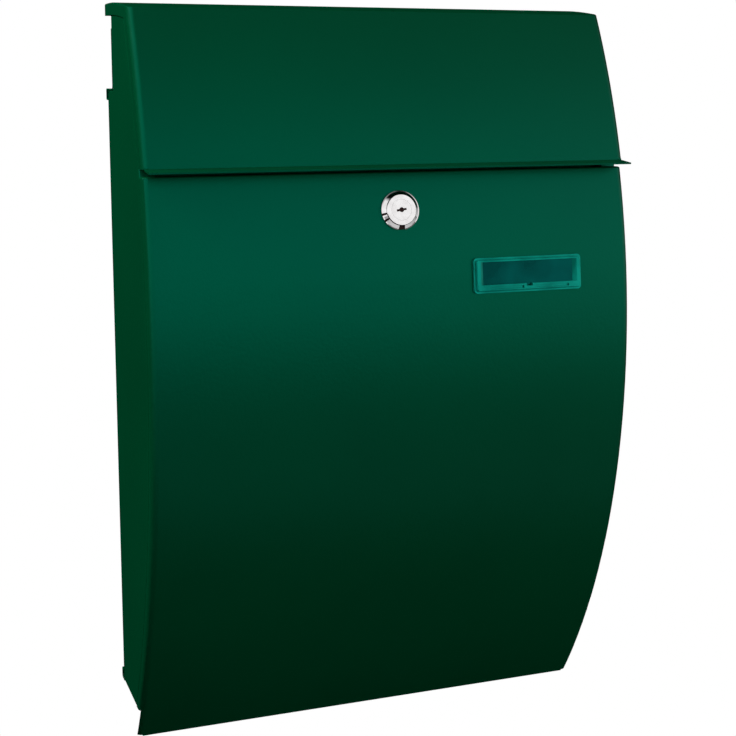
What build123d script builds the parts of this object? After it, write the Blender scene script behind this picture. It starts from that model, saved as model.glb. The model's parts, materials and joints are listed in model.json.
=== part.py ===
from build123d import *
from math import asin, cos, hypot, sin, sqrt
import os

# Wall mounted mailbox of folded sheet steel. All sizes are in millimetres.
# Depth runs out from the back panel's rear face. Height runs up from a level just below the box.
# The origin is the middle of the wall screw pattern, on the back panel's rear face:
# +X to the right, -Y out of the wall, +Z up.

# Sheet and overall size
width = 311.0
lid_top_front_height = 460.0
box_bottom = 18.0
sheet = 1.0
bend = 2.5
wall_bend = 1.4
front_bend = 4.5
seam = 0.6
seat_gap = 0.05
cut_through = 8.0
reach = 900.0

# Curved front: one arc for the door, and the lid a little proud on the same centre.
# The front is deepest at this share of the height of the lid's front edge.
front_radius = 440.0
front_apex_depth = 121.8
front_apex_share = 0.5457
lid_proud = 3.0

# Lid
lid_tall = 93.6
lid_top_rise = 5.2
lid_rear_depth = -3.7
lid_top_radius = 500.0
lid_corner = 1.2
lid_skirt = 7.6
lip_length = 13.6
lip_inset = 1.6
lip_sink = 0.4
lip_drop = 1.2
lip_bend = 1.2

# Box
notch_drop = 48.0
notch_depth = 16.5
wall_front_inset = 9.0
wall_rim = 10.0
wall_plain = 37.5
back_tab_width = 14.0
back_tab_rise = 8.0
floor_lip_inset = 2.4
floor_lip_height = 15.0
floor_rear_lip = 12.0
drain_radius = 3.0
drain_side = 55.0

# Wall fixing
screw_side = 45.5
screw_edge = 47.0
screw_hole_radius = 3.5
standoff = 7.2
rail_height = 7.3
rail_bend = 1.2

# Slot hood under the lid, with the letter slot and the lock's strike rail
hood_drop = 11.0
hood_overlap = 2.4
hood_rear_lip = 12.0
slot_side = 30.0
slot_rise = 18.6
slot_tall = 35.0
slot_corner = 4.0
strike_rise = 12.6
strike_flange = 12.0
strike_low = 17.0
strike_setback = 18.5
strike_bend = 1.4

# Door
door_apron = 22.9
door_gap = 4.5
door_corner = 1.2
hem_height = 7.0
apron_relief = 0.5
apron_ridge = 0.5

# Hinges: two on the lid and two on the door, all of the same pressed leaf
hinge_length = 40.0
knuckle_length = 13.0
knuckle_gap = 0.4
leaf = 1.2
pin_radius = 1.75
pin_clearance = 0.05
pin_head_radius = 2.6
pin_head = 1.2
knuckle_clearance = 0.4
leaf_length = 24.0
lid_hinge_side = 65.0
lid_pivot_setback = 2.0
door_hinge_side = 55.0
door_pivot_inset = 8.4
door_pivot_drop = 9.0
door_leaf_tall = 31.0
floor_leaf_share = 0.56

# Lid bumpers
bumper_side = 25.0
bumper_rise = 8.6
bumper_radius = 6.0
bumper_top_radius = 4.5
bumper_round = 1.5
bumper_gap = 0.4

# Cam lock
lock_drop = 23.2
bezel_radius = 12.1
bezel_edge = 0.8
bezel_rise = 4.0
bezel_face_radius = 10.2
bezel_notch_width = 4.0
bezel_notch_turns = (207.0, 277.0)
barrel_radius = 9.0
barrel_flat = 8.0
barrel_length = 16.0
barrel_clearance = 0.2
plug_radius = 6.4
plug_clearance = 0.06
plug_square = 8.0
keyway_length = 6.4
keyway_width = 1.3
keyway_turn = 8.0
keyway_eye_radius = 1.5
keyway_depth = 9.0
washer_radius = 13.0
washer_thickness = 1.0
nut_across = 22.0
nut_thickness = 4.0
cam_gap = 0.3
cam_thickness = 2.0
cam_width = 15.0
cam_reach = 28.0
cam_corner = 3.0
cam_fit = 0.1
cam_screw_radius = 2.4
cam_screw_fit = 0.05
cam_screw_length = 9.0
cam_screw_flange_radius = 6.0
cam_screw_flange = 1.0
cam_screw_head = 3.2
cam_screw_across = 8.0

# Name holder
name_side = 72.6
name_drop = 64.9
name_width = 73.6
name_tall = 22.0
name_corner = 2.4
name_base = 1.8
name_rise = 4.0
name_step = 1.2
name_chamfer = 0.5
name_border_side = 6.0
name_border_top = 2.6
name_border_bottom = 5.2
name_bevel = 2.2
name_notch_width = 4.0
name_notch = 1.6
groove_start = 4.0
groove_end = 27.0
groove_width = 1.6
groove_depth = 1.2
groove_rise = 3.2
pane_thickness = 1.2
pane_edge = 0.8
pane_fit = 0.1
peg_radius = 1.5
peg_length = 6.0
peg_inset = 2.4
peg_clearance = 0.2
clip_radius = 4.0
clip_thickness = 0.6

# Derived heights
front_apex_height = front_apex_share * lid_top_front_height
lid_top_rear_height = lid_top_front_height + lid_top_rise
lid_bottom = lid_top_front_height - lid_tall
hood_top = lid_top_front_height - hood_drop
hood_bottom = lid_bottom - hood_overlap
notch_height = lid_top_front_height - notch_drop
slot_bottom = lid_bottom + slot_rise
strike_top = lid_bottom + strike_rise
bumper_height = lid_bottom + bumper_rise
door_top = lid_bottom - door_gap
door_bottom = box_bottom - door_apron
lock_height = door_top - lock_drop
name_height = door_top - name_drop
screw_low_height = box_bottom + screw_edge
screw_high_height = notch_height - screw_edge
screw_center_height = (screw_low_height + screw_high_height) / 2

# Derived places and radii
half_width = width / 2
front_center_depth = front_apex_depth - front_radius
lid_radius = front_radius + lid_proud
wall_front_radius = front_radius - wall_front_inset
flange_radius = wall_front_radius + seam
hood_radius = wall_front_radius - sheet
knuckle_radius = pin_radius + pin_clearance + leaf
side_plane = Plane(origin=(0, 0, -screw_center_height), x_dir=(0, -1, 0), z_dir=(-1, 0, 0))


def arc_depth(radius, height):
    return front_center_depth + sqrt(radius**2 - (height - front_apex_height) ** 2)


def circle_center(start, end, radius):
    chord = (end[0] - start[0], end[1] - start[1])
    length = hypot(*chord)
    drop = sqrt(radius**2 - length**2 / 4)
    middle = ((start[0] + end[0]) / 2, (start[1] + end[1]) / 2)
    return (middle[0] - drop * chord[1] / length, middle[1] + drop * chord[0] / length)


lid_top_front = (arc_depth(lid_radius, lid_top_front_height), lid_top_front_height)
lid_top_rear = (lid_rear_depth, lid_top_rear_height)
lid_top_center = circle_center(lid_top_front, lid_top_rear, lid_top_radius)


# Side profiles, drawn as (depth, height)
def front_disc(radius):
    return Pos(front_center_depth, front_apex_height) * Circle(radius)


def top_disc(inset):
    return Pos(*lid_top_center) * Circle(lid_top_radius - inset)


def window(low_depth, low_height, high_depth, high_height):
    size = (high_depth - low_depth, high_height - low_height)
    return Pos(low_depth, low_height) * Rectangle(*size, align=(Align.MIN, Align.MIN))


def rounded(profile, point, radius):
    corner = profile.vertices().sort_by_distance((point[0], point[1], 0))[0]
    return fillet(corner, radius)


def bar(profile, half_length, x=0.0):
    return Pos(X=x) * extrude(side_plane * profile, amount=half_length, both=True)


def slab(profile, low_x, high_x):
    return bar(profile, (high_x - low_x) / 2, (high_x + low_x) / 2)


def bent_strip(points, radius, thickness):
    return trace(FilletPolyline(*points, radius=radius), line_width=thickness)


def front_plane(x, height, radius):
    tilt = asin((height - front_apex_height) / radius)
    depth = front_center_depth + radius * cos(tilt)
    origin = (x, -depth, height - screw_center_height)
    return Plane(origin=origin, x_dir=(1, 0, 0), z_dir=(0, -cos(tilt), sin(tilt)))


def seat_drop(radius):
    return radius**2 / (2 * front_radius)


def end_edges(block, x):
    return block.faces().filter_by(Axis.X).sort_by(lambda f: abs(f.center().X - x))[0].edges()


# A block with its end edges folded over, apart from those behind or below the given depth and height
def folded_block(profile, half_length, radius, low_depth, low_height):
    block = bar(profile, half_length)
    edges = end_edges(block, half_length) + end_edges(block, -half_length)
    edges = edges.filter_by(lambda edge: -edge.center().Y > low_depth)
    edges = edges.filter_by(lambda edge: edge.center().Z > low_height - screw_center_height)
    return fillet(edges, radius)


# Box: side walls, back, floor and stand-off rails
def wall_profile(inset):
    corner = wall_bend + sheet / 2 - inset
    rear = sheet + inset
    lower = box_bottom + inset
    notch = (notch_depth + sheet + inset, notch_height - sheet - inset)
    front = front_disc(wall_front_radius - inset) & top_disc(inset)
    profile = front & window(rear, lower, reach, reach)
    profile -= window(-reach, notch[1], notch[0], reach)
    profile = rounded(profile, (rear, lower), corner)
    profile = rounded(profile, (rear, notch[1]), bend + sheet / 2 - inset)
    profile = rounded(profile, notch, bend + sheet / 2 + inset)
    profile = rounded(profile, (arc_depth(wall_front_radius - inset, lower), lower), corner)
    top = profile.vertices().sort_by(Axis.Y)
    for place in [(top[-1].X, top[-1].Y), (top[-2].X, top[-2].Y)]:
        profile = rounded(profile, place, corner)
    return profile


def side_wall(side):
    outer = slab(wall_profile(0.0), half_width - wall_rim, half_width)
    outer = fillet(end_edges(outer, half_width), wall_bend)
    inner = slab(wall_profile(sheet), half_width - wall_rim - sheet, half_width - sheet)
    inner = fillet(end_edges(inner, half_width - sheet), wall_bend - sheet)
    plain = window(-reach, hood_top - hood_rear_lip - seam, notch_depth + wall_plain, reach)
    above = window(-reach, 0, reach, reach) - top_disc(lid_skirt + seam)
    wall = outer - inner - slab(plain, 0, half_width - sheet) - slab(above, 0, width)
    return wall if side > 0 else mirror(wall, about=Plane.YZ)


def back_panel():
    mid = sheet / 2
    points = [
        (mid, box_bottom),
        (mid, notch_height - mid),
        (notch_depth + mid, notch_height - mid),
        (notch_depth + mid, hood_top),
    ]
    panel = bar(bent_strip(points, bend, sheet), half_width)
    tab = window(notch_depth, hood_top - bend, notch_depth + sheet, hood_top + back_tab_rise)
    tab_end = half_width - sheet - seam
    panel += slab(tab, tab_end - back_tab_width, tab_end)
    panel += slab(tab, -tab_end, back_tab_width - tab_end)
    spacing = (width - 2 * screw_side, screw_high_height - screw_low_height)
    drill = Plane.XZ * GridLocations(*spacing, 2, 2) * Cylinder(screw_hole_radius, cut_through)
    return panel - drill


def bottom_panel():
    mid = sheet / 2
    level = box_bottom + sheet + mid
    rear = 2 * sheet + mid
    front = arc_depth(wall_front_radius, box_bottom) - floor_lip_inset
    points = [
        (rear, level + floor_rear_lip),
        (rear, level),
        (front, level),
        (front, level + floor_lip_height),
    ]
    panel = bar(bent_strip(points, bend, sheet), half_width - bend)
    center = Pos(0, -(rear + front) / 2, level - screw_center_height)
    drains = GridLocations(width - 2 * drain_side, 1, 2, 1)
    return panel - center * drains * Cylinder(drain_radius, cut_through)


def standoff_rail(top):
    mid = sheet / 2
    points = [
        (0, top - mid),
        (mid - standoff, top - mid),
        (mid - standoff, top - rail_height + mid),
        (0, top - rail_height + mid),
    ]
    return bar(bent_strip(points, rail_bend, sheet), half_width)


# Slot hood and strike rail
def hood_region(inset):
    rear = notch_depth + sheet + inset
    top = hood_top - inset
    region = front_disc(hood_radius - inset) & window(rear, hood_bottom, reach, top)
    region = rounded(region, (rear, top), bend + sheet / 2 - inset)
    return rounded(region, (arc_depth(hood_radius - inset, top), top), bend + sheet / 2 - inset)


def slot_hood():
    band = hood_region(0.0) - hood_region(sheet)
    cut = window(-reach, -reach, notch_depth + sheet + bend, hood_top - hood_rear_lip)
    hood = bar(band - cut, half_width - bend)
    slot = RectangleRounded(width - 2 * slot_side, slot_tall, slot_corner)
    level = slot_bottom + slot_tall / 2 - screw_center_height
    return hood - Pos(Z=level) * extrude(Plane.XZ * slot, amount=reach)


def strike_rail():
    tilt = asin((lock_height - front_apex_height) / front_radius)
    lock_depth = front_center_depth + front_radius * cos(tilt)
    inner = hood_radius - sheet

    def lip_point(along):
        back = strike_setback + sheet / 2
        depth = lock_depth - along * sin(tilt) - back * cos(tilt)
        return (depth, lock_height + along * cos(tilt) - back * sin(tilt))

    low_height = strike_top - strike_flange
    foot = (arc_depth(inner - sheet / 2, low_height), low_height)
    head = (arc_depth(inner - sheet / 2, strike_top), strike_top)
    shelf = lip_point((low_height - lip_point(0)[1]) / cos(tilt))
    points = [head, foot, shelf, lip_point(strike_low)]
    return bar(bent_strip(points, strike_bend, sheet), half_width - wall_rim - bend)


# Lid and door panels
def lid_region(inset):
    front = front_disc(lid_radius - inset) & top_disc(inset)
    return front & window(lid_rear_depth + inset, lid_bottom, reach, reach)


def lid_panel():
    square = (lid_top_front[0], lid_bottom + sheet)
    outer = folded_block(lid_region(0.0), half_width, front_bend, *square)
    outer = fillet(outer.faces().sort_by(Axis.Z)[-1].edges(), lid_corner)
    inner = folded_block(lid_region(sheet), half_width - sheet, front_bend - sheet, *square)
    behind = front_disc(flange_radius) & top_disc(lid_skirt) & window(-reach, 0, reach, reach)
    pan = outer - inner - bar(behind, width)
    middle = lid_radius - sheet / 2
    start = (arc_depth(middle, lid_bottom + sheet), lid_bottom + sheet)
    corner = (start[0], lid_bottom - lip_sink)
    tip = (corner[0] + lip_length, corner[1] - lip_drop)
    lip = bar(bent_strip([start, corner, tip], lip_bend, sheet), half_width - lip_inset)
    return pan + lip


def door_region(inset):
    return front_disc(front_radius - inset) & window(0, door_bottom + sheet, reach, door_top - inset)


def lock_opening(clearance):
    return Circle(barrel_radius + clearance) & Rectangle(2 * (barrel_flat + clearance), reach)


def peg_places():
    return GridLocations(name_width - 2 * peg_inset, 1, 2, 1)


def door_panel():
    square = (arc_depth(front_radius, door_top), door_bottom + bend)
    outer = folded_block(door_region(0.0), half_width, front_bend, *square)
    outer = fillet(outer.faces().sort_by(Axis.Z)[-1].edges(), door_corner)
    inner = folded_block(door_region(sheet), half_width - sheet, front_bend - sheet, *square)
    behind = front_disc(flange_radius) & window(-reach, -reach, reach, reach)
    apron = front_disc(front_radius - sheet - apron_ridge)
    apron &= window(-reach, -reach, reach, box_bottom + apron_relief)
    pan = outer - inner - bar(behind, width) - bar(apron, width)
    hem = front_disc(front_radius) - front_disc(front_radius - 2 * sheet)
    hem &= window(0, door_bottom, reach, door_bottom + hem_height)
    panel = pan + bar(hem, half_width - front_bend)
    lock_plane = front_plane(0, lock_height, front_radius)
    name_plane = front_plane(half_width - name_side, name_height, front_radius)
    panel -= extrude(lock_plane * lock_opening(barrel_clearance), amount=cut_through, both=True)
    drill = Cylinder(peg_radius + peg_clearance, cut_through)
    return panel - [name_plane.location * place * drill for place in peg_places()]


# Hinges
def knuckle_ring(pivot):
    return Pos(*pivot) * Circle(knuckle_radius)


def pin_bore(pivot):
    return Pos(*pivot) * Circle(pin_radius + pin_clearance)


def outer_knuckles(profile, x):
    offset_x = (hinge_length - knuckle_length) / 2
    return bar(profile, knuckle_length / 2, x - offset_x) + bar(profile, knuckle_length / 2, x + offset_x)


def middle_knuckle(profile, x):
    return bar(profile, hinge_length / 2 - knuckle_length - knuckle_gap, x)


def pair(make, x):
    return Compound(children=[make(-x), make(x)])


lid_pivot_depth = notch_depth + lid_pivot_setback
lid_pivot_height = hood_top + knuckle_clearance + knuckle_radius
lid_pivot = (lid_pivot_depth, lid_pivot_height)
door_pivot_height = box_bottom - door_pivot_drop
door_pivot_depth = arc_depth(front_radius, door_pivot_height) - door_pivot_inset
door_pivot = (door_pivot_depth, door_pivot_height)


def lid_hinge_body_leaf(x):
    plate_front = lid_pivot_depth + leaf_length
    plate = window(lid_pivot_depth + knuckle_radius + knuckle_clearance, hood_top, plate_front, hood_top + leaf)
    tongue = window(lid_pivot_depth, hood_top, plate_front, hood_top + leaf)
    knuckle = knuckle_ring(lid_pivot) + tongue - pin_bore(lid_pivot)
    return (bar(plate, hinge_length / 2, x) + outer_knuckles(knuckle, x)).solid()


def lid_hinge_lid_leaf(x):
    front = lid_pivot_depth + knuckle_radius
    seat = sheet + seat_gap
    under = top_disc(seat) - top_disc(seat + leaf)
    plate = under & window(front - leaf, 0, lid_pivot_depth + leaf_length, reach)
    leg = top_disc(seat) & window(front - leaf, lid_pivot_height, front, reach)
    knuckle = knuckle_ring(lid_pivot) + leg - pin_bore(lid_pivot)
    return (bar(plate, hinge_length / 2, x) + middle_knuckle(knuckle, x)).solid()


def door_hinge_body_leaf(x):
    rear = door_pivot_depth - knuckle_radius
    under = box_bottom + sheet
    plate = window(rear * (1 - floor_leaf_share), under - leaf, rear + leaf, under)
    leg = window(rear, door_pivot_height, rear + leaf, under)
    knuckle = knuckle_ring(door_pivot) + leg - pin_bore(door_pivot)
    return (bar(plate, hinge_length / 2, x) + outer_knuckles(knuckle, x)).solid()


def door_hinge_door_leaf(x):
    inner = front_radius - sheet
    low = door_pivot_height - knuckle_radius
    behind = front_disc(inner) - front_disc(inner - leaf)
    plate = behind & window(0, low, reach, door_pivot_height + door_leaf_tall)
    tongue = front_disc(inner) & window(door_pivot_depth, low, reach, low + leaf)
    knuckle = knuckle_ring(door_pivot) + tongue - pin_bore(door_pivot)
    return (bar(plate, hinge_length / 2, x) + middle_knuckle(knuckle, x)).solid()


def hinge_pin(pivot, x):
    shank = bar(Pos(*pivot) * Circle(pin_radius), hinge_length / 2 + pin_head, x)
    head = Pos(*pivot) * Circle(pin_head_radius)
    end = hinge_length / 2 + pin_clearance
    heads = slab(head, x + end, x + end + pin_head) + slab(head, x - end - pin_head, x - end)
    return (shank + heads).solid()


# Lid bumpers
def lid_bumper(x):
    tall = lid_radius - sheet - bumper_gap - hood_radius
    body = Cone(bumper_radius, bumper_top_radius, tall, align=(Align.CENTER, Align.CENTER, Align.MIN))
    body = fillet(body.edges().sort_by(Axis.Z)[-1], bumper_round)
    return (front_plane(x, bumper_height, hood_radius).location * body).solid()


# Cam lock, drawn about its own axis with z out of the door
lock_frame = front_plane(0, lock_height, front_radius).location
washer_back = sheet + seat_drop(washer_radius) + seat_gap + washer_thickness
cam_front = strike_setback + sheet + cam_gap
cam_back = cam_front + cam_thickness


def column(profile, low, high):
    return Pos(Z=low) * extrude(profile, amount=high - low)


def lock_housing():
    bezel = column(Circle(bezel_radius), 0, bezel_rise)
    slope = bezel_radius - bezel_face_radius
    bezel = chamfer(bezel.edges().sort_by(Axis.Z)[-1], bezel_rise - bezel_edge, slope)
    notch = Pos(bezel_radius, 0, bezel_edge + bezel_rise) * Box(2 * slope, bezel_notch_width, 2 * bezel_rise)
    bezel -= [Rot(Z=turn) * notch for turn in bezel_notch_turns]
    barrel = column(lock_opening(0.0), -barrel_length, 0)
    return bezel + barrel - column(Circle(plug_radius + plug_clearance), -barrel_length, bezel_rise)


def lock_plug():
    body = column(Circle(plug_radius), -cam_front, bezel_rise)
    square = column(Rectangle(plug_square, plug_square), -cam_back, -cam_front)
    keyway = Rot(Z=keyway_turn) * Rectangle(keyway_length, keyway_width) + Circle(keyway_eye_radius)
    plug = body + square - column(keyway, bezel_rise - keyway_depth, bezel_rise)
    drill = Circle(cam_screw_radius + cam_screw_fit)
    return plug - column(drill, -cam_back, cam_screw_fit + cam_screw_length - cam_back)


def lock_washer():
    ring = Circle(washer_radius) - lock_opening(barrel_clearance)
    return column(ring, -washer_back, washer_thickness - washer_back)


def lock_nut():
    ring = RegularPolygon(nut_across / 2, 6, major_radius=False) - Circle(barrel_radius + barrel_clearance)
    return column(ring, -washer_back - nut_thickness, -washer_back)


def lock_cam():
    arm = Circle(cam_width / 2) + Rectangle(cam_reach, cam_width, align=(Align.MIN, Align.CENTER))
    tip_edges = arm.vertices().sort_by(Axis.X)[-2:]
    arm = fillet(tip_edges, cam_corner)
    square = plug_square + 2 * cam_fit
    return column(arm - Rectangle(square, square), -cam_back, -cam_front)


def cam_screw():
    shank = column(Circle(cam_screw_radius), -cam_back, cam_screw_length - cam_back)
    head_front = -cam_back - cam_screw_flange
    flange = column(Circle(cam_screw_flange_radius), head_front, -cam_back)
    hexagon = RegularPolygon(cam_screw_across / 2, 6, major_radius=False)
    return shank + flange + column(hexagon, head_front - cam_screw_head, head_front)


# Name holder, drawn flat with z out of the door
name_frame = front_plane(half_width - name_side, name_height, front_radius).location
opening_width = name_width - 2 * name_border_side
opening_tall = name_tall - name_border_top - name_border_bottom
opening_place = Pos(0, (name_border_bottom - name_border_top) / 2)
pane_width = opening_width + 2 * pane_edge
pane_tall = opening_tall + 2 * pane_edge


def bevel_wedge():
    low = opening_width / 2
    top = low + name_bevel
    outline = Polygon((-low, name_base), (low, name_base), (top, name_rise), (-top, name_rise), align=None)
    return opening_place * extrude(Plane.XZ * outline, amount=opening_tall / 2, both=True)


def name_holder():
    base = column(RectangleRounded(name_width, name_tall, name_corner), 0, name_base)
    inset = 2 * name_step
    upper = RectangleRounded(name_width - inset, name_tall - inset, name_corner - name_step / 2)
    body = base + column(upper, name_base, name_rise)
    body = chamfer(body.faces().sort_by(Axis.Z)[-1].edges(), name_chamfer)
    notch = Pos(0, name_border_bottom - name_tall / 2) * Rectangle(name_notch_width, 2 * name_notch)
    body -= column(opening_place * Rectangle(opening_width, opening_tall) + notch, 0, name_rise)
    body -= bevel_wedge()
    groove = Rectangle(groove_end - groove_start, groove_width, align=(Align.MIN, Align.CENTER))
    cut = column(groove, name_rise - groove_depth, name_rise)
    body -= [Pos(x, groove_rise - name_tall / 2) * cut for x in (groove_start, -groove_end)]
    pocket = opening_place * Rectangle(pane_width + 2 * pane_fit, pane_tall + 2 * pane_fit)
    body -= column(pocket, 0, name_base)
    peg = column(Circle(peg_radius), -peg_length, 0)
    return body + [place * peg for place in peg_places()]


def name_window():
    pane = opening_place * Rectangle(pane_width, pane_tall)
    return column(pane, name_base - pane_thickness, name_base)


def name_holder_clips():
    front = -(sheet + seat_drop(clip_radius) + seat_gap)
    ring = Circle(clip_radius) - Circle(peg_radius + pin_clearance)
    clip = column(ring, front - clip_thickness, front)
    return Compound(children=[(name_frame * place * clip).solid() for place in peg_places()])


pieces = {
    "back_panel": back_panel(),
    "left_side_wall": side_wall(-1),
    "right_side_wall": side_wall(1),
    "bottom_panel": bottom_panel(),
    "upper_standoff_rail": standoff_rail(notch_height),
    "lower_standoff_rail": standoff_rail(box_bottom + rail_height),
    "slot_hood": slot_hood(),
    "strike_rail": strike_rail(),
    "lid_bumpers": pair(lid_bumper, half_width - bumper_side),
    "lid_hinge_body_leaves": pair(lid_hinge_body_leaf, half_width - lid_hinge_side),
    "lid_hinge_pins": pair(lambda x: hinge_pin(lid_pivot, x), half_width - lid_hinge_side),
    "door_hinge_body_leaves": pair(door_hinge_body_leaf, half_width - door_hinge_side),
    "door_hinge_pins": pair(lambda x: hinge_pin(door_pivot, x), half_width - door_hinge_side),
    "lid_panel": lid_panel(),
    "lid_hinge_lid_leaves": pair(lid_hinge_lid_leaf, half_width - lid_hinge_side),
    "door_panel": door_panel(),
    "door_hinge_door_leaves": pair(door_hinge_door_leaf, half_width - door_hinge_side),
    "lock_housing": lock_frame * lock_housing(),
    "lock_washer": lock_frame * lock_washer(),
    "lock_nut": lock_frame * lock_nut(),
    "name_holder": name_frame * name_holder(),
    "name_window": name_frame * name_window(),
    "name_holder_clips": name_holder_clips(),
    "lock_plug": lock_frame * lock_plug(),
    "lock_cam": lock_frame * lock_cam(),
    "cam_screw": lock_frame * cam_screw(),
}

os.makedirs("parts", exist_ok=True)
for name, shape in pieces.items():
    export_step(shape, f"parts/{name}.step")
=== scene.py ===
import bpy
import bmesh
import json
from math import hypot, radians
from mathutils import Matrix, Vector


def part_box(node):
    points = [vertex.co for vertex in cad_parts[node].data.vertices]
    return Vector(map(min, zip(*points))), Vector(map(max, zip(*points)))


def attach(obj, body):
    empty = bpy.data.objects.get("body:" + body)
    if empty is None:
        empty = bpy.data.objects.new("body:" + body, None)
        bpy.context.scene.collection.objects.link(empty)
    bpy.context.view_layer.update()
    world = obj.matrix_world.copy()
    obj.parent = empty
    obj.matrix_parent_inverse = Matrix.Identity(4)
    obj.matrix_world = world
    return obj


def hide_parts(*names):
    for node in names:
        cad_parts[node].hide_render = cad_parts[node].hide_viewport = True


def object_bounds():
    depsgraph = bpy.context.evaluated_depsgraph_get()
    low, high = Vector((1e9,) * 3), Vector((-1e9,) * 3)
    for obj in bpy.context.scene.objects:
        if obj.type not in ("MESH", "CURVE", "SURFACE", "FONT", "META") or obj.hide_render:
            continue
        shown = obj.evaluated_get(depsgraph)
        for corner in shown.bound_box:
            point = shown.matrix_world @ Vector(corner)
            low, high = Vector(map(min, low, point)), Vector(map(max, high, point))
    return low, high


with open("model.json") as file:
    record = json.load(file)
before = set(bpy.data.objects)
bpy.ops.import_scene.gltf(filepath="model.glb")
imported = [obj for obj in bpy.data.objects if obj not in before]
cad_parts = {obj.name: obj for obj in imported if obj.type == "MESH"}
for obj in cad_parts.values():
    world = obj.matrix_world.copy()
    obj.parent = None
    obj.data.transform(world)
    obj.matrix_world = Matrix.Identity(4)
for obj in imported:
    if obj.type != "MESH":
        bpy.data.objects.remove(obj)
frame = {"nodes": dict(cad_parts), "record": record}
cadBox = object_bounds()
nodes = frame["nodes"]
print("frame loaded:", len(nodes), "nodes")


# small helpers for shader trees
def newMaterial(name):
    mat = bpy.data.materials.new(name)
    mat.use_nodes = True
    tree = mat.node_tree
    return mat, tree, tree.nodes["Principled BSDF"]


def addNode(tree, kind, **sockets):
    node = tree.nodes.new(kind)
    for key, value in sockets.items():
        node.inputs[key.replace("_", " ")].default_value = value
    return node


def objectCoords(tree):
    return tree.nodes.new("ShaderNodeTexCoord").outputs["Object"]


def split(tree, vector):
    node = tree.nodes.new("ShaderNodeSeparateXYZ")
    tree.links.new(vector, node.inputs["Vector"])
    return node.outputs


def noise(tree, coords, scale, detail):
    node = addNode(tree, "ShaderNodeTexNoise", Scale=scale, Detail=detail)
    tree.links.new(coords, node.inputs["Vector"])
    return node.outputs["Fac"]


def fade(tree, value, start, end, low, high):
    node = addNode(tree, "ShaderNodeMapRange", From_Min=start, From_Max=end, To_Min=low, To_Max=high)
    tree.links.new(value, node.inputs["Value"])
    return node.outputs["Result"]


def maths(tree, operation, *values):
    node = tree.nodes.new("ShaderNodeMath")
    node.operation = operation
    for socket, value in zip(node.inputs, values):
        if isinstance(value, float):
            socket.default_value = value
        else:
            tree.links.new(value, socket)
    return node.outputs["Value"]


def bump(tree, height, strength, distance, normal=None):
    node = addNode(tree, "ShaderNodeBump", Strength=strength, Distance=distance)
    tree.links.new(height, node.inputs["Height"])
    if normal is not None:
        tree.links.new(normal, node.inputs["Normal"])
    return node.outputs["Normal"]


# base colour that runs from the look's dark tone to its light one
def tintBase(tree, shader, value, look):
    node = tree.nodes.new("ShaderNodeValToRGB")
    tones = (look["dark"], look["light"])
    for element, place, tone in zip(node.color_ramp.elements, look["stops"], tones):
        element.position = place
        element.color = (*tone, 1.0)
    tree.links.new(value, node.inputs["Fac"])
    tree.links.new(node.outputs["Color"], shader.inputs["Base Color"])


def varyRoughness(tree, shader, value, look):
    low, high = look["roughRange"]
    tree.links.new(fade(tree, value, 0.0, 1.0, low, high), shader.inputs["Roughness"])


# what is the same all over a surface is set on the shader's own sockets
surfaceSockets = {
    "roughness": "Roughness",
    "metallic": "Metallic",
    "specular": "Specular IOR Level",
    "specularTint": "Specular Tint",
    "transmission": "Transmission Weight",
}


def setSurface(shader, look):
    for key, socket in surfaceSockets.items():
        if key in look:
            shader.inputs[socket].default_value = look[key]


# in the looks below a noise is given as scale and detail, and a bump as strength and distance

# green powder coat: fine orange peel, faint cloudiness in colour and gloss
coatLook = {
    "dark": (0.0, 0.034, 0.0115),
    "light": (0.0, 0.039, 0.0132),
    "stops": (0.3, 0.7),
    "cloud": (9.0, 4.0),
    "peel": (620.0, 2.0),
    "peelBump": (0.12, 0.0006),
    "grain": (2600.0, 1.0),
    "grainBump": (0.05, 0.0002),
    "roughRange": (0.33, 0.42),
    "specular": 0.7,
    "specularTint": (0.0, 1.0, 0.72, 1.0),
}


def powderCoat():
    mat, tree, shader = newMaterial("green_powder_coat")
    coords = objectCoords(tree)
    tintBase(tree, shader, noise(tree, coords, *coatLook["cloud"]), coatLook)
    peel = noise(tree, coords, *coatLook["peel"])
    grain = noise(tree, coords, *coatLook["grain"])
    varyRoughness(tree, shader, peel, coatLook)
    normal = bump(tree, peel, *coatLook["peelBump"])
    normal = bump(tree, grain, *coatLook["grainBump"], normal)
    tree.links.new(normal, shader.inputs["Normal"])
    setSurface(shader, coatLook)
    return mat


# zinc plated steel for hinges and lock hardware
zincLook = {
    "dark": (0.36, 0.37, 0.37),
    "light": (0.62, 0.62, 0.6),
    "stops": (0.3, 0.75),
    "spangle": (160.0, 3.0),
    "grain": (900.0, 2.0),
    "grainBump": (0.08, 0.0002),
    "roughRange": (0.26, 0.46),
    "metallic": 0.6,
}


def zincSteel():
    mat, tree, shader = newMaterial("zinc_plated_steel")
    coords = objectCoords(tree)
    tintBase(tree, shader, noise(tree, coords, *zincLook["spangle"]), zincLook)
    grain = noise(tree, coords, *zincLook["grain"])
    varyRoughness(tree, shader, grain, zincLook)
    tree.links.new(bump(tree, grain, *zincLook["grainBump"]), shader.inputs["Normal"])
    setSurface(shader, zincLook)
    return mat


# bright chrome of the lock
chromeLook = {
    "dark": (0.78, 0.76, 0.76),
    "light": (0.9, 0.89, 0.89),
    "stops": (0.3, 0.7),
    "haze": (300.0, 4.0),
    "roughRange": (0.07, 0.15),
    "metallic": 1.0,
}


def lockChrome():
    mat, tree, shader = newMaterial("lock_chrome")
    haze = noise(tree, objectCoords(tree), *chromeLook["haze"])
    tintBase(tree, shader, haze, chromeLook)
    varyRoughness(tree, shader, haze, chromeLook)
    setSurface(shader, chromeLook)
    return mat


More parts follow.
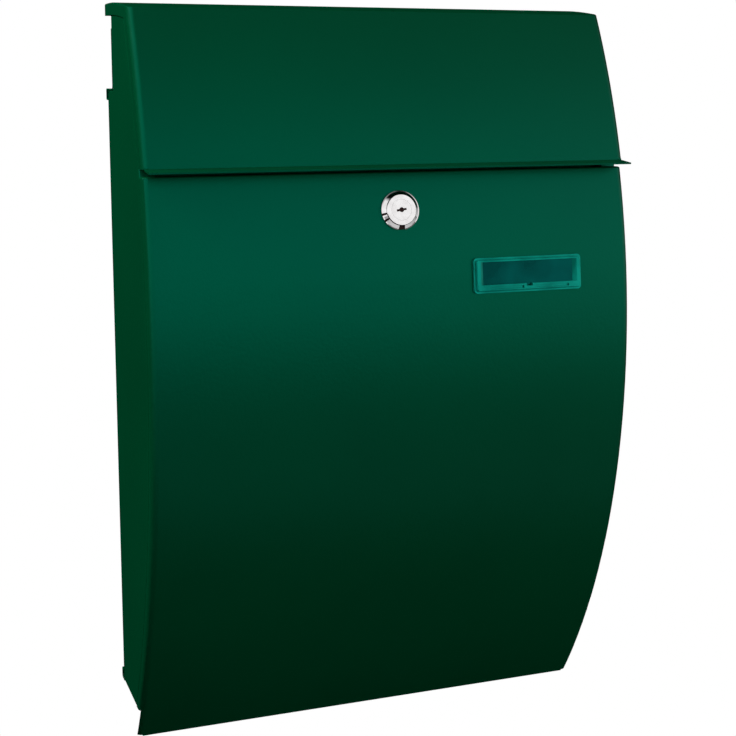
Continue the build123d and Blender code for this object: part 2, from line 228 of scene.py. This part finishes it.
# near-black dull metal: painted shade deep in the keyway and in the rim's notches
paintedShadeLook = {
    "dark": (0.012, 0.006, 0.006),
    "light": (0.035, 0.018, 0.016),
    "stops": (0.3, 0.7),
    "grain": (2500.0, 2.0),
    "roughness": 0.6,
    "specular": 0.1,
}


def paintedShadeMaterial():
    mat, tree, shader = newMaterial("painted_shade_metal")
    tintBase(tree, shader, noise(tree, objectCoords(tree), *paintedShadeLook["grain"]), paintedShadeLook)
    setSurface(shader, paintedShadeLook)
    return mat


# black rubber of the lid bumpers
rubberLook = {
    "dark": (0.012, 0.012, 0.013),
    "light": (0.03, 0.03, 0.031),
    "stops": (0.3, 0.7),
    "grain": (1500.0, 2.0),
    "grainBump": (0.2, 0.0002),
    "roughness": 0.75,
}


def blackRubber():
    mat, tree, shader = newMaterial("black_rubber")
    grain = noise(tree, objectCoords(tree), *rubberLook["grain"])
    tintBase(tree, shader, grain, rubberLook)
    tree.links.new(bump(tree, grain, *rubberLook["grainBump"]), shader.inputs["Normal"])
    setSurface(shader, rubberLook)
    return mat


# translucent teal plastic of the name holder, with a painted highlight at its two ends and painted
# shade in the middle
plasticLook = {
    "dark": (0.0, 0.165, 0.12),
    "light": (0.003, 0.30, 0.223),
    "stops": (0.3, 0.72),
    "flow": (60.0, 3.0),
    "flowBump": (0.05, 0.0003),
    "middleShade": -0.13,
    "endHighlight": 0.24,
    "endShare": 0.2,  # of half the holder's width
    "roughness": 0.3,
    "specular": 0.3,
    "specularTint": (0.03, 1.0, 0.84, 1.0),
    "transmission": 0.12,
}


def tealPlastic():
    mat, tree, shader = newMaterial("teal_plastic")
    coords = objectCoords(tree)
    flow = noise(tree, coords, *plasticLook["flow"])
    low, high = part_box("name_holder")
    across = split(tree, coords)["X"]
    endWidth = (high[0] - low[0]) / 2 * plasticLook["endShare"]
    # painted highlight towards the two ends, painted shade in the middle
    middle, end = plasticLook["middleShade"], plasticLook["endHighlight"]
    leftEndHighlight = fade(tree, across, low[0] + endWidth, low[0], middle, end)
    rightEndHighlight = fade(tree, across, high[0] - endWidth, high[0], middle, end)
    shift = maths(tree, "MAXIMUM", leftEndHighlight, rightEndHighlight)
    tintBase(tree, shader, maths(tree, "ADD", flow, shift), plasticLook)
    tree.links.new(bump(tree, flow, *plasticLook["flowBump"]), shader.inputs["Normal"])
    setSurface(shader, plasticLook)
    return mat


# clear pane of the name holder, with a painted highlight growing to the right and painted shade on the
# left
paneLook = {
    "dark": (0.0, 0.030, 0.025),
    "light": (0.0, 0.09, 0.075),
    "stops": (0.3, 0.7),
    "flow": (45.0, 2.0),
    "leftShade": -0.19,
    "rightHighlight": 0.22,
    "roughness": 0.1,
    "specular": 0.2,
    "specularTint": (0.0, 1.0, 0.92, 1.0),
    "transmission": 0.3,
}


def clearPane():
    mat, tree, shader = newMaterial("clear_pane")
    coords = objectCoords(tree)
    flow = noise(tree, coords, *paneLook["flow"])
    low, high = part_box("name_window")
    across = split(tree, coords)["X"]
    # painted highlight from left to right across the pane
    shift = fade(tree, across, low[0], high[0], paneLook["leftShade"], paneLook["rightHighlight"])
    tintBase(tree, shader, maths(tree, "ADD", flow, shift), paneLook)
    setSurface(shader, paneLook)
    return mat


finishes = {
    "green_coat": powderCoat(),
    "zinc_steel": zincSteel(),
    "lock_chrome": lockChrome(),
    "black_rubber": blackRubber(),
    "teal_plastic": tealPlastic(),
    "clear_pane": clearPane(),
}
# one near-black material carries the painted shade of the keyway and of the rim's notches
paintedShadeMetal = paintedShadeMaterial()
print("materials made:", len(finishes) + 1)


# angles in degrees up to which an edge is smoothed
# folded sheet has only square edges and bends, so its bends are smoothed up to a wide angle
smoothing = {"mergeDistance": 0.00001, "sheet": 70.0, "hardware": 32.0, "lock": 12.0}


# one modifier for every piece: merge the loose triangles and shade smooth below an angle
def smoothGroup(name, angle):
    tree = bpy.data.node_groups.new(name, "GeometryNodeTree")
    tree.interface.new_socket("Geometry", in_out="INPUT", socket_type="NodeSocketGeometry")
    tree.interface.new_socket("Geometry", in_out="OUTPUT", socket_type="NodeSocketGeometry")
    start = tree.nodes.new("NodeGroupInput")
    end = tree.nodes.new("NodeGroupOutput")
    merge = addNode(tree, "GeometryNodeMergeByDistance", Distance=smoothing["mergeDistance"])
    smooth = tree.nodes.new("GeometryNodeSetShadeSmooth")
    sharp = addNode(tree, "GeometryNodeSetShadeSmooth", Shade_Smooth=False)
    sharp.domain = "EDGE"
    edgeAngle = tree.nodes.new("GeometryNodeInputMeshEdgeAngle")
    compare = tree.nodes.new("FunctionNodeCompare")
    compare.operation = "GREATER_THAN"
    compare.inputs[1].default_value = radians(angle)
    tree.links.new(edgeAngle.outputs["Unsigned Angle"], compare.inputs[0])
    tree.links.new(compare.outputs["Result"], sharp.inputs["Selection"])
    tree.links.new(start.outputs[0], merge.inputs["Geometry"])
    tree.links.new(merge.outputs["Geometry"], smooth.inputs["Geometry"])
    tree.links.new(smooth.outputs["Geometry"], sharp.inputs["Geometry"])
    tree.links.new(sharp.outputs["Geometry"], end.inputs[0])
    return tree


sheetSmoothing = smoothGroup("smooth_sheet", smoothing["sheet"])
hardwareSmoothing = smoothGroup("smooth_hardware", smoothing["hardware"])
lockSmoothing = smoothGroup("smooth_lock", smoothing["lock"])


def dressNode(name, slotName):
    obj = nodes[name]
    obj.data.materials.clear()
    obj.data.materials.append(finishes[slotName])
    group = sheetSmoothing if slotName == "green_coat" else hardwareSmoothing
    obj.modifiers.new("smooth", "NODES").node_group = group
    weighted = obj.modifiers.new("weighted", "WEIGHTED_NORMAL")
    weighted.keep_sharp = True


for part in frame["record"]["subparts"]:
    dressNode(part["node"], part["material_slot"])
print("nodes dressed")


# lock: a flat face inside a sloping rim with a narrow edge, and a flatted barrel
# the rim has two spanner notches whose dark floor is painted shade, the first of them with a tab in it
lockShape = {
    "faceRadius": 0.00925,
    "coreRadius": 0.00955,
    "faceRise": 0.0040,
    "faceRound": 0.0003,
    "rimEdge": 0.0015,
    "landWidth": 0.0006,
    "landRise": 0.0002,
    "rimTop": 0.0031,
    "notchTurns": (201.7, 270.5),
    "notchSpans": (27.0, 21.0),
    "tabSpan": 13.0,
    "floorLow": 0.0002,
    "floorHigh": 0.0009,
    "floorInset": 0.0004,
    "barrelRadius": 0.0090,
    "barrelFlat": 0.0080,
    "barrelLength": 0.0160,
    "boreGap": 0.00006,
    "stepAngle": 3.0,
}
fullTurn = 360.0


# the lock's own frame: x to the right, z out of the door along the plug's axis
def lockFrame():
    joint = next(item for item in frame["record"]["behaviour"]["joints"] if item["name"] == "lock_turn")
    across = Vector((1, 0, 0))
    out = Vector(joint["axis"])
    place = Matrix((across, out.cross(across), out)).transposed().to_4x4()
    place.translation = joint["pos_m"]
    return place


def halfWidth(node):
    low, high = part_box(node)
    return (high[0] - low[0]) / 2


# turns an outline of (radius, height) points about z, through a full turn or from one angle to another
def turned(bm, outline, start=0.0, end=fullTurn):
    verts = [bm.verts.new((radius, 0, height)) for radius, height in outline]
    full = end - start >= fullTurn
    if full:
        geom = verts + [bm.edges.new(pair) for pair in zip(verts, verts[1:] + verts[:1])]
    else:
        face = bm.faces.new(verts)
        geom = verts + list(face.edges) + [face]
    bmesh.ops.rotate(bm, cent=(0, 0, 0), matrix=Matrix.Rotation(radians(start), 3, "Z"), verts=verts)
    steps = max(1, round((end - start) / lockShape["stepAngle"]))
    bmesh.ops.spin(
        bm, geom=geom, cent=(0, 0, 0), axis=(0, 0, 1), dvec=(0, 0, 0),
        angle=radians(end - start), steps=steps, use_merge=full, use_duplicate=False,
    )


def addObject(name, bm, finish):
    mesh = bpy.data.meshes.new(name)
    bm.to_mesh(mesh)
    bm.free()
    mesh.materials.append(finish)
    obj = bpy.data.objects.new(name, mesh)
    bpy.context.scene.collection.objects.link(obj)
    return obj


# puts a piece of the lock in its place on the door
def lockPiece(name, bm, finish, body):
    bmesh.ops.transform(bm, matrix=lockFrame(), verts=bm.verts)
    bmesh.ops.recalc_face_normals(bm, faces=bm.faces)
    obj = addObject(name, bm, finish)
    obj.modifiers.new("smooth", "NODES").node_group = lockSmoothing
    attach(obj, body)
    return obj


def lockHousing():
    shape = lockShape
    bore = halfWidth("lock_plug") + shape["boreGap"]
    rim = halfWidth("lock_housing")
    bm = bmesh.new()
    turned(bm, [
        (bore, shape["faceRise"]),
        (shape["faceRadius"], shape["faceRise"]),
        (shape["coreRadius"], shape["faceRise"] - shape["faceRound"]),
        (shape["coreRadius"], 0),
        (shape["barrelRadius"], 0),
        (shape["barrelRadius"], -shape["barrelLength"]),
        (bore, -shape["barrelLength"]),
    ])
    for vert in bm.verts:
        behind = vert.co.z <= 0 and hypot(vert.co.x, vert.co.y) < shape["coreRadius"] - shape["boreGap"]
        if behind and abs(vert.co.x) > shape["barrelFlat"]:  # the barrel's two flats
            vert.co.x = shape["barrelFlat"] if vert.co.x > 0 else -shape["barrelFlat"]
    # the rim is turned in one piece from each notch to the next
    inner = shape["coreRadius"] - shape["faceRound"]
    land = (rim - shape["landWidth"], shape["rimEdge"] + shape["landRise"])
    rimOutline = [(inner, 0), (rim, 0), (rim, shape["rimEdge"]), land, (inner, shape["rimTop"])]
    first, second = shape["notchTurns"]
    firstHalf, secondHalf = [span / 2 for span in shape["notchSpans"]]
    turned(bm, rimOutline, first + firstHalf, second - secondHalf)
    turned(bm, rimOutline, second + secondHalf, first + fullTurn - firstHalf)
    tab = shape["tabSpan"] / 2
    turned(bm, rimOutline, first - tab, first + tab)
    housing = lockPiece("lock_bezel_and_barrel", bm, finishes["lock_chrome"], "door")
    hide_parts("lock_housing")


# dark ring under the rim, seen only as the dark floor of its two notches: painted shade standing in for
# the shade in the notches
def paintedShadeNotchFloor():
    shape = lockShape
    inner = shape["coreRadius"] - shape["floorInset"]
    outer = halfWidth("lock_housing") - shape["floorInset"]
    low, high = shape["floorLow"], shape["floorHigh"]
    bm = bmesh.new()
    turned(bm, [(inner, low), (outer, low), (outer, high), (inner, high)])
    # this ring's near-black colour is painted shade for the notches
    lockPiece("bezel_notch_painted_shade", bm, paintedShadeMetal, "door")


# wafers just under the plug's face, near black so that they show as the dark of the keyway: partly the
# wafers' own dull metal, mostly painted shade
waferShape = {
    "length": 0.0063,
    "width": 0.0012,
    "depth": 0.003,
    "turn": 8.0,
    "eyeRadius": 0.00145,
    "eyeSegments": 24,
    "sink": 0.0004,
}


def keywayShadeWafers():
    shape = waferShape
    top = lockShape["faceRise"] - shape["sink"]
    middle = Matrix.Translation((0, 0, top - shape["depth"] / 2))
    turn = Matrix.Rotation(radians(shape["turn"]), 4, "Z")
    size = Matrix.Diagonal((shape["length"], shape["width"], shape["depth"], 1.0))
    bm = bmesh.new()
    bmesh.ops.create_cube(bm, size=1.0, matrix=middle @ turn @ size)
    bmesh.ops.create_cone(
        bm, cap_ends=True, segments=shape["eyeSegments"], matrix=middle,
        radius1=shape["eyeRadius"], radius2=shape["eyeRadius"], depth=shape["depth"] - shape["sink"],
    )
    # the wafers' near-black colour is painted shade of the keyway slot
    lockPiece("keyway_wafers_painted_shade", bm, paintedShadeMetal, "lock_core")


lockHousing()
paintedShadeNotchFloor()
keywayShadeWafers()
print("lock housing, notch floor and keyway made")


# pale floor under the box: white to the camera
# mirrors see it dark, with a bent pale strip across the front and a dim far end
stageLook = {
    "floorSize": 12.0,
    "floorDrop": 0.5,
    "floorColour": (0.02, 0.02, 0.02, 1.0),
    "floorRoughness": 0.8,
    "stripTurns": (-3.95, 46.23),
    "stripAways": (0.7172, 0.5435),
    "stripBend": 1.555,
    "stripInner": 0.03,
    "stripOuter": 0.06,
    "stripMirror": 0.85,
    "farStart": -0.1,
    "farEnd": -0.56,
    "farMirror": 0.13,
}

# world: white to the camera and soft as fill light
# mirrors see it white in front and at the sides, dimmer overhead and dark behind the wall
# on the left the white reaches higher up
worldLook = {
    "fill": 0.07,
    "mirror": 1.0,
    "wallStart": -0.35,
    "wallEnd": 0.1,
    "highStart": 0.36,
    "highEnd": 0.74,
    "overhead": 0.15,
    "leftStart": -0.25,
    "leftEndHighlight": -0.65,
    "leftLift": 0.64,
}
white = (1.0, 1.0, 1.0, 1.0)


def mixShaders(tree, factor, first, second):
    node = tree.nodes.new("ShaderNodeMixShader")
    tree.links.new(factor, node.inputs["Fac"])
    tree.links.new(first, node.inputs[1])
    tree.links.new(second, node.inputs[2])
    return node.outputs["Shader"]


# plain light, then what mirrors see, then white to the camera and through glass
def whiteBackdrop(tree, lightKind, plain, mirrorLevel, output):
    path = tree.nodes.new("ShaderNodeLightPath").outputs
    mirror = addNode(tree, lightKind, Color=white)
    tree.links.new(mirrorLevel, mirror.inputs["Strength"])
    backdrop = addNode(tree, lightKind, Color=white, Strength=1.0)
    seen = maths(tree, "MAXIMUM", path["Is Camera Ray"], path["Is Transmission Ray"])
    lit = mixShaders(tree, path["Is Glossy Ray"], plain, mirror.outputs[0])
    tree.links.new(mixShaders(tree, seen, lit, backdrop.outputs[0]), output.inputs["Surface"])


def paleFloor():
    look = stageLook
    mat, tree, shader = newMaterial("pale_floor")
    shader.inputs["Base Color"].default_value = look["floorColour"]
    shader.inputs["Roughness"].default_value = look["floorRoughness"]
    # the strip has two straight runs that meet in a wide bend
    runs = []
    for turn, away in zip(look["stripTurns"], look["stripAways"]):
        run = addNode(tree, "ShaderNodeMapping", Rotation=(0, 0, radians(-turn)), Location=(0, away, 0))
        tree.links.new(objectCoords(tree), run.inputs["Vector"])
        runs.append(split(tree, run.outputs["Vector"])["Y"])
    across = maths(tree, "ABSOLUTE", maths(tree, "SMOOTH_MAX", *runs, look["stripBend"]))
    near = fade(tree, across, look["stripInner"], look["stripOuter"], look["stripMirror"], 0.0)
    far = fade(tree, runs[0], look["farStart"], look["farEnd"], 0.0, look["farMirror"])
    level = maths(tree, "MAXIMUM", near, far)
    output = tree.nodes["Material Output"]
    whiteBackdrop(tree, "ShaderNodeEmission", shader.outputs["BSDF"], level, output)
    return mat


def makeFloor():
    bm = bmesh.new()
    bmesh.ops.create_grid(bm, x_segments=1, y_segments=1, size=stageLook["floorSize"] / 2)
    bmesh.ops.translate(bm, vec=(0, 0, cadBox[0][2] - stageLook["floorDrop"]), verts=bm.verts)
    floor = addObject("floor", bm, paleFloor())


def makeWorld():
    look = worldLook
    world = bpy.data.worlds.new("studio")
    bpy.context.scene.world = world
    world.use_nodes = True
    tree = world.node_tree
    fill = tree.nodes["Background"]
    fill.inputs["Color"].default_value = white
    fill.inputs["Strength"].default_value = look["fill"]
    toward = split(tree, tree.nodes.new("ShaderNodeTexCoord").outputs["Generated"])
    front = fade(tree, toward["Y"], look["wallStart"], look["wallEnd"], look["mirror"], 0.0)
    lift = fade(tree, toward["X"], look["leftStart"], look["leftEndHighlight"], 0.0, look["leftLift"])
    height = maths(tree, "SUBTRACT", toward["Z"], lift)
    high = fade(tree, height, look["highStart"], look["highEnd"], 1.0, look["overhead"])
    level = maths(tree, "MULTIPLY", front, high)
    output = tree.nodes["World Output"]
    whiteBackdrop(tree, "ShaderNodeBackground", fill.outputs["Background"], level, output)


makeFloor()
makeWorld()

# soft lamps: a wide key in front, a closer one high on the left and a weak one behind
# none of them is seen in mirrors
lamps = {
    "key": {"place": (0.87, -2.22, 0.35), "aim": (0.0, -0.11, 0.12), "size": (1.8, 1.2), "power": 38.0},
    "side": {"place": (-1.2, 0.15, 1.1), "aim": (-0.15, -0.05, 0.0), "size": (0.9, 0.9), "power": 52.0},
    "rear": {"place": (1.6, 1.9, 0.9), "aim": (0.0, 0.0, 0.0), "size": (1.2, 1.2), "power": 30.0},
}


def makeLamp(name, look):
    lamp = bpy.data.lights.new(name, "AREA")
    lamp.shape = "RECTANGLE"
    lamp.size, lamp.size_y = look["size"]
    lamp.energy = look["power"]
    obj = bpy.data.objects.new(name, lamp)
    obj.location = look["place"]
    aim = Vector(look["aim"]) - Vector(look["place"])
    obj.rotation_euler = aim.to_track_quat("-Z", "Y").to_euler()
    obj.visible_glossy = False
    bpy.context.scene.collection.objects.link(obj)


for lampName, lampLook in lamps.items():
    makeLamp(lampName, lampLook)

# camera at the photograph's viewing angle
view = {
    "place": (-0.3087, -0.9423, 0.2005),
    "yaw": 20.77,
    "pitch": 7.77,
    "lens": 71.39,
    "sensor": 36.0,
    "shift": (-0.0550, -0.1167),
}


def makeCamera():
    data = bpy.data.cameras.new("photo_view")
    data.lens = view["lens"]
    data.sensor_width = view["sensor"]
    data.shift_x, data.shift_y = view["shift"]
    obj = bpy.data.objects.new("photo_view", data)
    obj.location = view["place"]
    obj.rotation_euler = (radians(90 - view["pitch"]), 0, radians(-view["yaw"]))
    bpy.context.scene.collection.objects.link(obj)
    bpy.context.scene.camera = obj


makeCamera()
bpy.context.scene.view_settings.view_transform = "Standard"
print("stage, lamps and camera placed")
